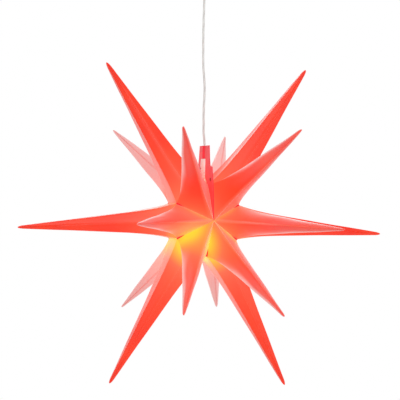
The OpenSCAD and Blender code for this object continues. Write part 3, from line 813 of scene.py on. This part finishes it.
def tab_strip():
    """The tab's rows of [backwards, up], and how far each point stands off for the cable's channel: a
    half circle over the cable, and nothing beside it."""
    reach = CHANNEL_R + FILM_T
    core = -np.cos(np.linspace(0, math.pi, CHANNEL_STEPS)) * reach
    rows = np.linspace(TAB_BOTTOM, TAB_TOP, TAB_STEPS)[:, None]
    width = mix(TAB_W / 2 + TAB_FLARE, TAB_W / 2, (rows - TAB_BOTTOM) / (TAB_TOP - TAB_BOTTOM))
    wing = mix(reach + CHANNEL_FOOT, width, np.linspace(0, 1, WING_STEPS)[None])
    y = np.concatenate([-wing[:, ::-1], np.broadcast_to(core, (TAB_STEPS, CHANNEL_STEPS)), wing], 1)
    return np.stack([y, np.broadcast_to(rows, y.shape)], -1), np.sqrt(np.maximum(reach ** 2 - y ** 2, 0))


def closure_plate(mould, n):
    """The flange of a sheet at the closure: two arms from the poles past the neck, and the tab across
    them, one film thick and a little wavy, with the channel's bulge; its ends are closed."""
    side = side_of(n)

    def place(flat, off, depth):
        """Points in the scene, on the face towards the seam at depth 0 and on the outer one at 1."""
        y, z = flat[..., 0], flat[..., 1]
        wave = FLANGE_WAVE * np.sin(z / WAVE_UP + y / WAVE_BACK)
        wave = wave * smooth_step((STEP_HEIGHT - z) / WAVE_TOP_RUN) * smooth_step(z / WAVE_FOOT_RUN)
        out = FLANGE_GAP + depth * (FILM_T - FLANGE_GAP) + np.maximum(off - (1 - depth) * FILM_T, 0)
        return lean(np.stack([side * out + wave, y, z], -1))

    arms = [(strip * [end, 1], 0.0) for strip in closure_strips() for end in (-1, 1)]
    for flat, off in arms + [tab_strip()]:
        outer, inner = place(flat, off, 1.0), place(flat, off, 0.0)
        edges = [np.stack([outer[k], inner[k]]) for k in (0, -1)]
        edges += [np.stack([outer[:, k], inner[:, k]]) for k in (0, -1)]
        for rows in (outer, inner, *edges):
            mould.grid(rows, glow=0.0, weld=0.0, layers=1.0)


# The doubled strip at a valley's corner, drawn dark with painted shade: width, half thickness, steps, and
# how fast it widens
PINCH_W = 1.2
PINCH_T = 0.25
PINCH_STEPS = 9
PINCH_RISE = 1.6


def pinch(mould, n, end):
    """Where a valley ends at a corner, the films of two sheets overlap: from the pole's line to this
    sheet's edge and a little up its face, a narrow doubled strip that tapers towards the pole. It takes the
    doubled colour and no lamplight, so it shows as a dark line: the real overlap of the films, with painted
    shade where the valley pinches."""
    share = np.linspace(SLIT_END, 1, PINCH_STEPS)[:, None]
    run = (share - SLIT_END) / (1 - SLIT_END)
    taper = smooth_step(run * PINCH_RISE)
    line = mix(pole(end, 0), corner(n, end, 0), share)
    away = np.array([math.sin(half_gap(n)), -math.cos(half_gap(n)), 0])
    ahead = unit(np.array([END_REACH, 0, end * END_DEPTH]) - line)
    out = unit(np.cross(ahead, corner(n, end, 0) - pole(end, 0)))
    out = out * np.sign(-(out * away).sum(-1, keepdims=True))
    edge = line + away * SLIT_HALF * run
    strip = np.stack([line, edge, edge + ahead * PINCH_W * taper], 1)
    thick = (out * PINCH_T * taper)[:, None]
    top, foot = in_star(n, strip + thick), in_star(n, strip - thick)
    edges = [np.stack([top[k], foot[k]]) for k in (0, -1)]
    edges += [np.stack([top[:, k], foot[:, k]], 1) for k in (0, -1)]
    # Doubled colour and no lamplight: a dark line of painted shade at the valley's end
    for rows in (top, foot, *edges):
        mould.grid(rows, glow=0.0, layers=1.0)


def make_sheet(n):
    """One sheet: its outer and inner face, three spikes each, closed along the welds and the valley,
    with its doubled strips, which carry painted shade, and its share of the flange. Painted backlight on
    a weld takes away its paleness and painted highlight."""
    mould = Mould()
    for spike in range(3):
        outer, inner = spike_points(n, spike, 0), in_star(n, spike_points(n, spike, FILM_T))
        outer = in_star(n, with_lip(with_lip(outer, 0), -1))
        # Painted backlight: the flanks that look away from the pole pale towards pink
        hazed = backlight(outer, spike - 1)
        # Welded edges: whitened film with a painted highlight, taken away where painted backlight lies
        weld = np.zeros(outer.shape[:2])
        weld[:, :LIP_COLUMNS + 1] = weld[:, -LIP_COLUMNS - 1:] = WELD_PALE_AND_HIGHLIGHT[spike]
        weld = weld * (1 - hazed)
        lit, lit_inside = lamplight(outer), np.clip(INSIDE + lamplight(inner), 0, 1)
        mould.grid(outer, glow=lit, weld=weld, haze=hazed)
        mould.grid(inner, glow=lit_inside)
        for side in (0, -1):
            mould.grid(np.stack([outer[:, side], inner[:, side]], 1), weld=weld[:, [side, side]],
                       haze=hazed[:, [side, side]], glow=np.stack([lit[:, side], lit_inside[:, side]], 1))
        root = slice(LIP_COLUMNS, -LIP_COLUMNS)
        mould.grid(np.stack([outer[-1, root], inner[-1]], 0), haze=hazed[-1, root],
                   glow=np.stack([lit[-1, root], lit_inside[-1]]))
    for end in (-1, 1):
        pinch(mould, n, end)
    if at_seam(n):
        closure_plate(mould, n)
    outfit("film_sheet_%d_film" % n, mould, FILM, "star", merge=0.02, sharp=40)


for n in range(1, SHEETS + 1):
    make_sheet(n)


# Lamp, studs and ceiling fitting: heights in the lamp are over the star's centre. An outline is a table
# of [radius, height, rounding], and the bare numbers in it are those measures.

LAMP = np.array([0, 0, -DROP])
FIT_GAP = 0.2
# The bulb screws out by 12.7 mm in four and a half turns
THREAD_PITCH = 12.7 / 4.5
SHELL_THREAD = 0.17
BULB_THREAD = 0.3
# Studs: [backwards, up] from the star's centre; the head's radius and height, and the height of its
# straight edge; the post's radius; and the depth and reach of the dimple in the head
STUD_PLACES = {"front_stud": (-45, 62), "rear_stud": (22, 79)}
STUD_HEAD = (2.6, 1.2)
STUD_EDGE = 0.35
STUD_POST = 1.1
STUD_SIDES = 48
DIMPLE_DEEP = 0.22
DIMPLE_R = 0.5
SOCKET_T = 1.8
# Lamp holder; the shell is radius, foot and top
HOLDER_R = 15
HOLDER_RIM = 14
CAP_SEAM = 40
CAP_TOP = 52
WALL = 1.8
NECK_TOP = 93.7
SPIGOT_R = NECK_R - WALL
SLEEVE_RIBS = 6
RIB_FOOT = 58
RIB_PITCH = 4
FLUTES = 30
FLUTE_DEEP = 0.45
SHELL = (7.2, 15, 35)
# Bulb; the cap is radius, foot and top
BULB_R = 16
BULB_RIM = -4
DOME_Z = -20
DOME_WALL = 1.2
BULB_CAP = (6.9, 12, 27.7)
FINS = 24
FIN_DEEP = 0.7
# Ceiling fitting; a cup screw is head radius, head height, shank radius, shank length and depth under
# the ceiling; its head's edge lies lower than its middle, and its slot is half width and depth
CUP_R = 40
CUP_H = 42
CUP_ROUND = 14
CUP_WALL = 1.6
CUP_SCREW = (3, 1.6, 1.5, 5.8, 9)
HEAD_FALL = 0.75
SLOT = (0.45, 0.7)
GRIP_R = 5
COLLAR_R = GRIP_R + 2.5
COLLAR_FLUTES = 20
COLLAR_DEEP = 0.3

# A rounding is held under half the way to the next corner
MOST_CUT = 0.49


def rounded(corners, steps=5):
    """A closed outline of [radius, height] whose corners, each given with its rounding as a third
    number, turn into parabolas that start and end that far from the corner."""
    line = []
    table = np.array(corners, float)
    p, t = table[:, :2], np.linspace(0, 1, steps)[:, None]
    for before, here, after, cut in zip(np.roll(p, 1, 0), p, np.roll(p, -1, 0), table[:, 2]):
        cut = min(cut, *(MOST_CUT * np.linalg.norm(other - here) for other in (before, after)))
        a, b = (here + unit(other - here) * cut for other in (before, after))
        line.append((1 - t) ** 2 * a + 2 * t * (1 - t) * here + t ** 2 * b if cut > 0 else here[None])
    line = np.concatenate(line)
    return np.concatenate([line, line[:1]])


def turned(mould, outline, sides=96, shape=None, place=None):
    """Turns an outline of [radius, height] round the upright axis; shape changes the radius by height
    and angle, and place moves the points."""
    angle = np.linspace(0, 2 * math.pi, sides, endpoint=False)[None]
    r, z = np.broadcast_arrays(outline[:, :1], outline[:, 1:] + 0 * angle)
    if shape:
        r = shape(r, z, angle)
    points = np.stack([r * np.cos(angle), r * np.sin(angle), z], -1)
    mould.grid(place(points) if place else points, closed=True)


def in_lamp(points):
    """Heights over the star's centre as heights in the scene."""
    return points + LAMP


def on_stud(y, z):
    """Moves points round the upright axis to a stud's axis, which runs level through the flange."""
    return lambda p: lean(np.stack([p[..., 2], y + p[..., 1], z - p[..., 0]], -1))


def lathe(name, outline, paint, body, slot, sides=96, shape=None, place=in_lamp):
    """One piece turned from one outline."""
    mould = Mould()
    turned(mould, outline, sides, shape, place)
    outfit(name, mould, paint, body)


def between(z, low, high, rise, fall):
    """1 between two heights, eased to 0 at each of them over the run given for it."""
    return smooth_step((z - low) / rise) * smooth_step((high - z) / fall)


def make_studs():
    """Press studs: a domed head with a dimple from the mould's gate and a post with a swollen end; the
    two sockets are rings with rounded shoulders and a lip that holds the post."""
    head_r, head_t = STUD_HEAD
    under = -FILM_T - RUN_GAP
    end = under + 2 * FILM_T + RUN_GAP + SOCKET_T
    post = [[0, end], [0.55, end], [0.9, end - 0.2], [STUD_POST, end - 0.6], [STUD_POST, end - 0.9],
            [0.9, end - 1.3], [0.9, under + 0.9], [STUD_POST, under + 0.6], [STUD_POST, under]]
    rim = [[head_r - 0.1, under], [head_r, under - 0.1]]
    turn = np.linspace(0, math.pi / 2, 12)
    head = np.stack([head_r * np.cos(turn), under - STUD_EDGE - (head_t - STUD_EDGE) * np.sin(turn)], -1)
    head[:, 1] += DIMPLE_DEEP * np.exp(-(head[:, 0] / DIMPLE_R) ** 2)
    for name, place in STUD_PLACES.items():
        lathe(name + "_moulding", np.concatenate([post, rim, head]), STUD_PLASTIC, name, "press_stud",
              STUD_SIDES, place=on_stud(*place))
    low, high, bore = FILM_T, FILM_T + SOCKET_T, STUD_POST + RUN_GAP
    ring = rounded([[bore, low, 0.2], [head_r, low, 0.15], [head_r, high, 0.6], [bore, high, 0.3],
                    [1.2, low + 1.1, 0.25]])
    rings = Mould()
    for place in STUD_PLACES.values():
        turned(rings, ring, STUD_SIDES, place=on_stud(*place))
    outfit("stud_sockets_rings", rings, STUD_PLASTIC, "star")


def make_holder():
    """Lamp holder: a ribbed sleeve on the cable, a conical cap and a fluted body over the threaded
    brass shell, all with rounded edges and a fine seam where cap and body meet."""
    white, brass = (WHITE_ABS, "lamp_holder", "white_moulding"), (BRASS, "lamp_holder", "brass")
    bore, inside_r = CABLE_R + FIT_GAP, HOLDER_R - WALL
    sleeve = [[bore, CAP_TOP - WALL, 0], [SPIGOT_R, CAP_TOP - WALL, 0.1], [SPIGOT_R, CAP_TOP, 0],
              [NECK_R, CAP_TOP, 0.3]]
    for z in RIB_FOOT + RIB_PITCH * np.arange(SLEEVE_RIBS):
        sleeve += [[NECK_R, z, 0.3], [NECK_R - 0.8, z + 0.5, 0.3], [NECK_R - 0.8, z + 1.5, 0.3],
                   [NECK_R, z + 2, 0.3]]
    sleeve += [[NECK_R, NECK_TOP - 12, 1.5], [NECK_R - 1, NECK_TOP, 0.8], [bore, NECK_TOP, 0.4]]
    lathe("neck_sleeve_moulding", rounded(sleeve), *white)
    cap = [[SPIGOT_R, CAP_TOP, 0], [NECK_R, CAP_TOP, 0.3], [HOLDER_R - 3, CAP_TOP - 4, 2],
           [HOLDER_R, CAP_SEAM + 4, 2], [HOLDER_R, CAP_SEAM, 0.4], [inside_r, CAP_SEAM, 0],
           [inside_r, CAP_SEAM + 4, 1.5], [HOLDER_R - 3 - WALL, CAP_TOP - 4 - WALL, 1.5],
           [SPIGOT_R, CAP_TOP - WALL, 0]]
    lathe("holder_cap_moulding", rounded(cap), *white)

    def fluted(r, z, angle):
        """Wide flutes in the body's outer wall, with narrow lands between them."""
        inside = between(z, HOLDER_RIM + 2.5, CAP_SEAM - 2.5, 1.5, 1.5)
        return r - FLUTE_DEEP * (r > HOLDER_R - 0.6) * inside * (0.5 + 0.5 * np.cos(FLUTES * angle)) ** 0.6

    side = [[HOLDER_R, z, 0] for z in np.linspace(HOLDER_RIM + 0.6, CAP_SEAM - 0.6, 40)]
    body = [[inside_r, CAP_SEAM, 0], [inside_r, HOLDER_RIM, 0.3], [HOLDER_R, HOLDER_RIM, 0.4]]
    lathe("holder_body_moulding", rounded(body + side + [[HOLDER_R, CAP_SEAM, 0.4]]), *white, 360, fluted)
    inner, low, high = SHELL
    core = [[0, high, 0], [12.4, high, 0.4], [inside_r, high + 0.8, 0.3], [inside_r, high + 4, 0.3],
            [6, high + 4, 0.2], [5.4, high + 3, 0.2], [0, high + 3, 0]]
    lathe("socket_core_moulding", rounded(core), *white)

    def threaded(r, z, angle):
        """The shell's rolled thread, a sine that climbs by the pitch in each turn."""
        fade = between(z, low + 1, high - 1, 2, 2)
        return r + SHELL_THREAD * fade * (1 + np.cos(angle + 2 * math.pi * z / THREAD_PITCH))

    levels = np.linspace(low, high, 90)
    wall = [[inner + 0.02, z, 0] for z in levels[::-1]] + [[inner + 0.24, z, 0] for z in levels]
    lathe("socket_shell_pressing", rounded(wall), *brass, 72, threaded)
    rivet = [[0, 28.8, 0], [1.2, 28.8, 0.3], [2.2, 29.8, 0.5], [2.2, high, 0.1], [0, high, 0]]
    lathe("socket_contact_rivet", rounded(rivet), *brass, 48)
    seal = [[8.3, 9.7, 0.8], [14.8, 9.7, 0.9], [14.3, 11, 0.4], [14.8, 11.7, 0.4], [14.3, 12.4, 0.4],
            [14.8, 13.7, 0.9], [8.3, 13.7, 0.8], [8.9, 11.7, 0.6]]
    lathe("seal_ring_rubber", rounded(seal), SEAL, "seal", "sealing_rubber")


def make_bulb():
    """Bulb: a rolled screw cap with a soldered tip, a finned housing, and an opal ball with a bead at
    its rim over the board and its chips."""
    radius, foot, top = BULB_CAP

    def threaded(r, z, angle):
        """The cap's rolled thread, a sine that climbs by the pitch in each turn."""
        fade = (r > radius - 0.4) * between(z, foot + 2, top - 3.5, 1.5, 1.5)
        return r - BULB_THREAD * fade * (1 - np.cos(angle + 2 * math.pi * z / THREAD_PITCH))

    side = [[radius, z, 0] for z in np.linspace(foot + 0.4, top - 2.6, 80)]
    crown = [[radius, top - 2.2, 0.4], [5.2, top - 0.8, 0.6], [4.4, top, 0.2], [0, top, 0]]
    skin = [[0, foot, 0], [radius, foot, 0.2]] + side + crown
    lathe("bulb_cap_pressing", rounded(skin), NICKEL, "bulb", "bulb_cap_metal", 72, threaded)
    tip = [[0, top, 0], [2.2, top, 0.1], [2.2, top + 0.3, 0.2], [1.4, top + 0.8, 0.5], [0, top + 0.8, 0]]
    lathe("bulb_contact_tip", rounded(tip), BRASS, "bulb", "brass", 48)

    def finned(r, z, angle):
        """Slots with steep sides between the housing's fins."""
        slot = smooth_step((np.cos(FINS * angle) - 0.1) / 0.5)
        return r - FIN_DEEP * (r > 10) * between(z, BULB_RIM + 3, 8.3, 1.5, 1.2) * slot

    flank = [[mix(13, BULB_R, t), mix(9.4, -2, t), 0] for t in np.linspace(0, 1, 24)[1:-1]]
    body = [[0, foot, 0], [8, foot, 0.3], [8, 9.4, 0.3], [13, 9.4, 0.5]] + flank
    body += [[BULB_R, -2, 0.4], [BULB_R, BULB_RIM, 0.2], [0, BULB_RIM, 0]]
    lathe("bulb_housing_moulding", rounded(body), HOUSING_PBT, "bulb", "bulb_housing", 384, finned)
    turn = np.linspace(0, math.pi / 2, 30)
    out, into = (np.stack([r * np.cos(turn), DOME_Z - r * np.sin(turn)], -1)
                 for r in (BULB_R, BULB_R - DOME_WALL))
    bead = BULB_RIM - np.array([0, 0, 0.6, 0.9, 1.3, 1.7])
    rim = np.stack([BULB_R - np.array([DOME_WALL, 0, 0, 0.25, 0.25, 0]), bead], -1)
    lathe("bulb_diffuser_shell", np.concatenate([into[::-1], rim, out]), OPAL, "bulb", "opal_diffuser")


def slotted_head(mould, place):
    """A pan head on a ringed shank: the head's top falls off with the cube of the radius, and a slot
    runs straight across it."""
    head_r, head_t, shank_r, shank_len, _ = CUP_SCREW
    half, slot_deep = SLOT
    turn = np.linspace(0, 1.4, 12)
    x = np.concatenate([-head_r * np.cos(turn), [-half, -half, -half / 2, half / 2, half, half],
                        head_r * np.cos(turn[::-1])])
    deep = np.zeros(len(x))
    deep[len(turn) + 1:-len(turn) - 1] = slot_deep
    reach = np.sqrt(np.maximum(head_r ** 2 - x ** 2, 0))[:, None]
    y = reach * np.sin(np.linspace(-math.pi / 2, math.pi / 2, 25))
    x = np.broadcast_to(x[:, None], y.shape)
    high = head_t - HEAD_FALL * ((x ** 2 + y ** 2) / head_r ** 2) ** 1.5 - deep[:, None]
    top, low = np.stack([x, y, high], -1), np.stack([x, y, 0 * y], -1)
    mould.grid(place(np.concatenate([low[:, :1], top, low[:, -1:]], 1)))
    mould.grid(place(low))
    rings = [[shank_r - 0.18 * (k % 2), -shank_len + 1 + 0.25 * k, 0] for k in range(18)]
    tip = [[0, -shank_len, 0], [shank_r - 0.5, -shank_len, 0], [shank_r, -shank_len + 0.6, 0.1]]
    turned(mould, rounded(tip + rings + [[shank_r, 0.2, 0], [0, 0.2, 0]]), 40, place=place)


def make_ceiling():
    """Ceiling fitting: a cup with a rounded foot and a fine groove under its rim, two slotted screws,
    and a cord grip with a ringed stem and a fluted collar."""
    turn = np.linspace(0, math.pi / 2, 24)
    skins = []
    for wall in (0, CUP_WALL):
        r, z, bend = CUP_R - wall, wall - CUP_H, CUP_ROUND - wall
        skins.append(np.stack([r - bend + bend * np.cos(turn), z + bend - bend * np.sin(turn)], -1))
    rim = [[CUP_R - CUP_WALL, 0], [CUP_R - 0.4, 0], [CUP_R, -0.4], [CUP_R, -2.4], [CUP_R - 0.3, -2.7],
           [CUP_R - 0.3, -3.1], [CUP_R, -3.4]]
    foot = [[GRIP_R + FIT_GAP, -CUP_H], [GRIP_R + FIT_GAP, -CUP_H + CUP_WALL]]
    cup = np.concatenate([rim, skins[0], foot, skins[1][::-1], rim[:1]])
    lathe("ceiling_cup_moulding", cup, WHITE_ABS, "ceiling", "white_moulding", 144, place=None)

    mould = Mould()
    for end in (-1, 1):
        slotted_head(mould, lambda p, end=end: np.stack(
            [p[..., 0], end * (CUP_R + p[..., 2]), -CUP_SCREW[4] + p[..., 1]], -1))
    outfit("cup_screws_turned", mould, ZINC, "ceiling")

    bore = CABLE_R + FIT_GAP
    stem = [[GRIP_R - 0.35 * (k % 2), -35.8 - 0.5 * k, 0.1] for k in range(12)]
    collar = [[COLLAR_R, z, 0] for z in np.linspace(-CUP_H - 0.4, -CUP_H - 2.6, 12)]
    grip = [[bore, -35.4, 0.2], [GRIP_R - 0.3, -35.4, 0.2]] + stem
    grip += [[GRIP_R, -CUP_H, 0], [COLLAR_R, -CUP_H, 0.3]] + collar
    grip += [[COLLAR_R, -CUP_H - 3, 0.3], [CABLE_R + 2, GRIP_MOUTH, 0.6], [bore, GRIP_MOUTH, 0.5]]

    def gripped(r, z, angle):
        """Narrow flutes in the collar, with wide lands between them."""
        return r - COLLAR_DEEP * (r > COLLAR_R - 0.5) * (0.5 + 0.5 * np.cos(COLLAR_FLUTES * angle)) ** 2

    lathe("cord_grip_moulding", rounded(grip), WHITE_ABS, "ceiling", "white_moulding", 240, gripped, None)


def paint_nodes():
    """The solids that stay as they are, all hidden inside: each takes its material."""
    plain = {"ceiling_plate": ZINC, "grip_nut": WHITE_ABS, "terminal_block": WHITE_ABS,
             "terminal_screws": BRASS, "led_board": BOARD, "led_chips": PHOSPHOR}
    for name, paint in plain.items():
        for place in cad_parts[name].material_slots:
            place.link = "OBJECT"
            place.material = paint


make_studs()
make_holder()
make_bulb()
make_ceiling()
paint_nodes()


# Stage and light

FLOOR_Z = -950
FLOOR_R = 1250
FLOOR_SIDES = 96
FLOOR_RINGS = 8


def make_floor():
    """A round pale floor under the star: an even disc of rings and spokes, clear from below."""
    turn = np.linspace(0, 2 * math.pi, FLOOR_SIDES, endpoint=False)
    ring = np.stack([np.cos(turn), np.sin(turn), np.zeros(FLOOR_SIDES)], -1)
    radii = np.linspace(0, FLOOR_R, FLOOR_RINGS)[:, None, None]
    mould = Mould()
    mould.grid(ring[None] * radii + np.array([0, 0, FLOOR_Z]), closed=True)
    floor = mould.piece("floor")
    if floor.data.polygons[0].normal.z < 0:
        floor.data.flip_normals()
    made, tree, shader = material("matt_white_board")
    wire(tree, shader, Base_Color=mottled(tree, noise(tree, 200), "#F2F1EF", "#F7F6F4"), Roughness=0.9)
    under = add(tree, "ShaderNodeNewGeometry").outputs["Backfacing"]
    clear = add(tree, "ShaderNodeBsdfTransparent").outputs[0]
    either = add(tree, "ShaderNodeMixShader", Fac=under, i1=shader.outputs[0], i2=clear).outputs[0]
    wire(tree, tree.nodes["Material Output"], Surface=either)
    floor.data.materials.append(made)


GLOSS_FRONT = 0.3
ROOM_LIGHT = 0.75
# Square soft boxes: place and side in metres, and watts
SOFT_BOXES = {
    "key": ((-0.6, -2.6, 0.7), 1.6, 17),
    "fill": ((1.8, -2.2, -0.2), 1.6, 6),
    "back": ((0.5, 2.8, 0.6), 1.6, 8),
}


def make_world():
    """White to the camera and to transmitted rays, and a less bright, even light for all else. Glossy
    rays meet a room that is dimmer on the camera's side and turns white towards the sides and the back."""
    world = bpy.data.worlds.new("studio")
    bpy.context.scene.world = world
    world.use_nodes = True
    tree = world.node_tree
    tree.nodes.clear()
    path = add(tree, "ShaderNodeLightPath").outputs
    away = add(tree, "ShaderNodeTexCoord").outputs["Generated"]
    along = add(tree, "ShaderNodeSeparateXYZ", Vector=away).outputs["Y"]
    room = add(tree, "ShaderNodeMapRange", {"interpolation_type": "SMOOTHSTEP"}, Value=along, From_Min=-0.9,
               From_Max=-0.1, To_Min=GLOSS_FRONT, To_Max=1.0).outputs[0]
    glossy = add(tree, "ShaderNodeMix", {"data_type": "FLOAT"}, Factor=path["Is Glossy Ray"],
                 i2=ROOM_LIGHT, i3=room)
    seen = add(tree, "ShaderNodeMath", {"operation": "MAXIMUM"}, i0=path["Is Camera Ray"],
               i1=path["Is Transmission Ray"])
    level = add(tree, "ShaderNodeMath", {"operation": "MAXIMUM"}, i0=glossy.outputs[0], i1=seen.outputs[0])
    back = add(tree, "ShaderNodeBackground", Color=(1, 1, 1, 1), Strength=level.outputs[0])
    add(tree, "ShaderNodeOutputWorld", Surface=back.outputs[0])


def soft_lamp(name, place, size, watts):
    """A soft box that looks at the star's centre."""
    data = bpy.data.lights.new(name, "AREA")
    data.shape, data.size, data.energy = "SQUARE", size, watts
    lamp = bpy.data.objects.new(name, data)
    lamp.location = place
    aim = Vector(STAR_CENTRE * MM) - lamp.location
    lamp.rotation_euler = aim.to_track_quat("-Z", "Y").to_euler()
    bpy.context.scene.collection.objects.link(lamp)


make_floor()
make_world()
bpy.context.scene.view_settings.view_transform = "Standard"
for name, box in SOFT_BOXES.items():
    soft_lamp(name, *box)
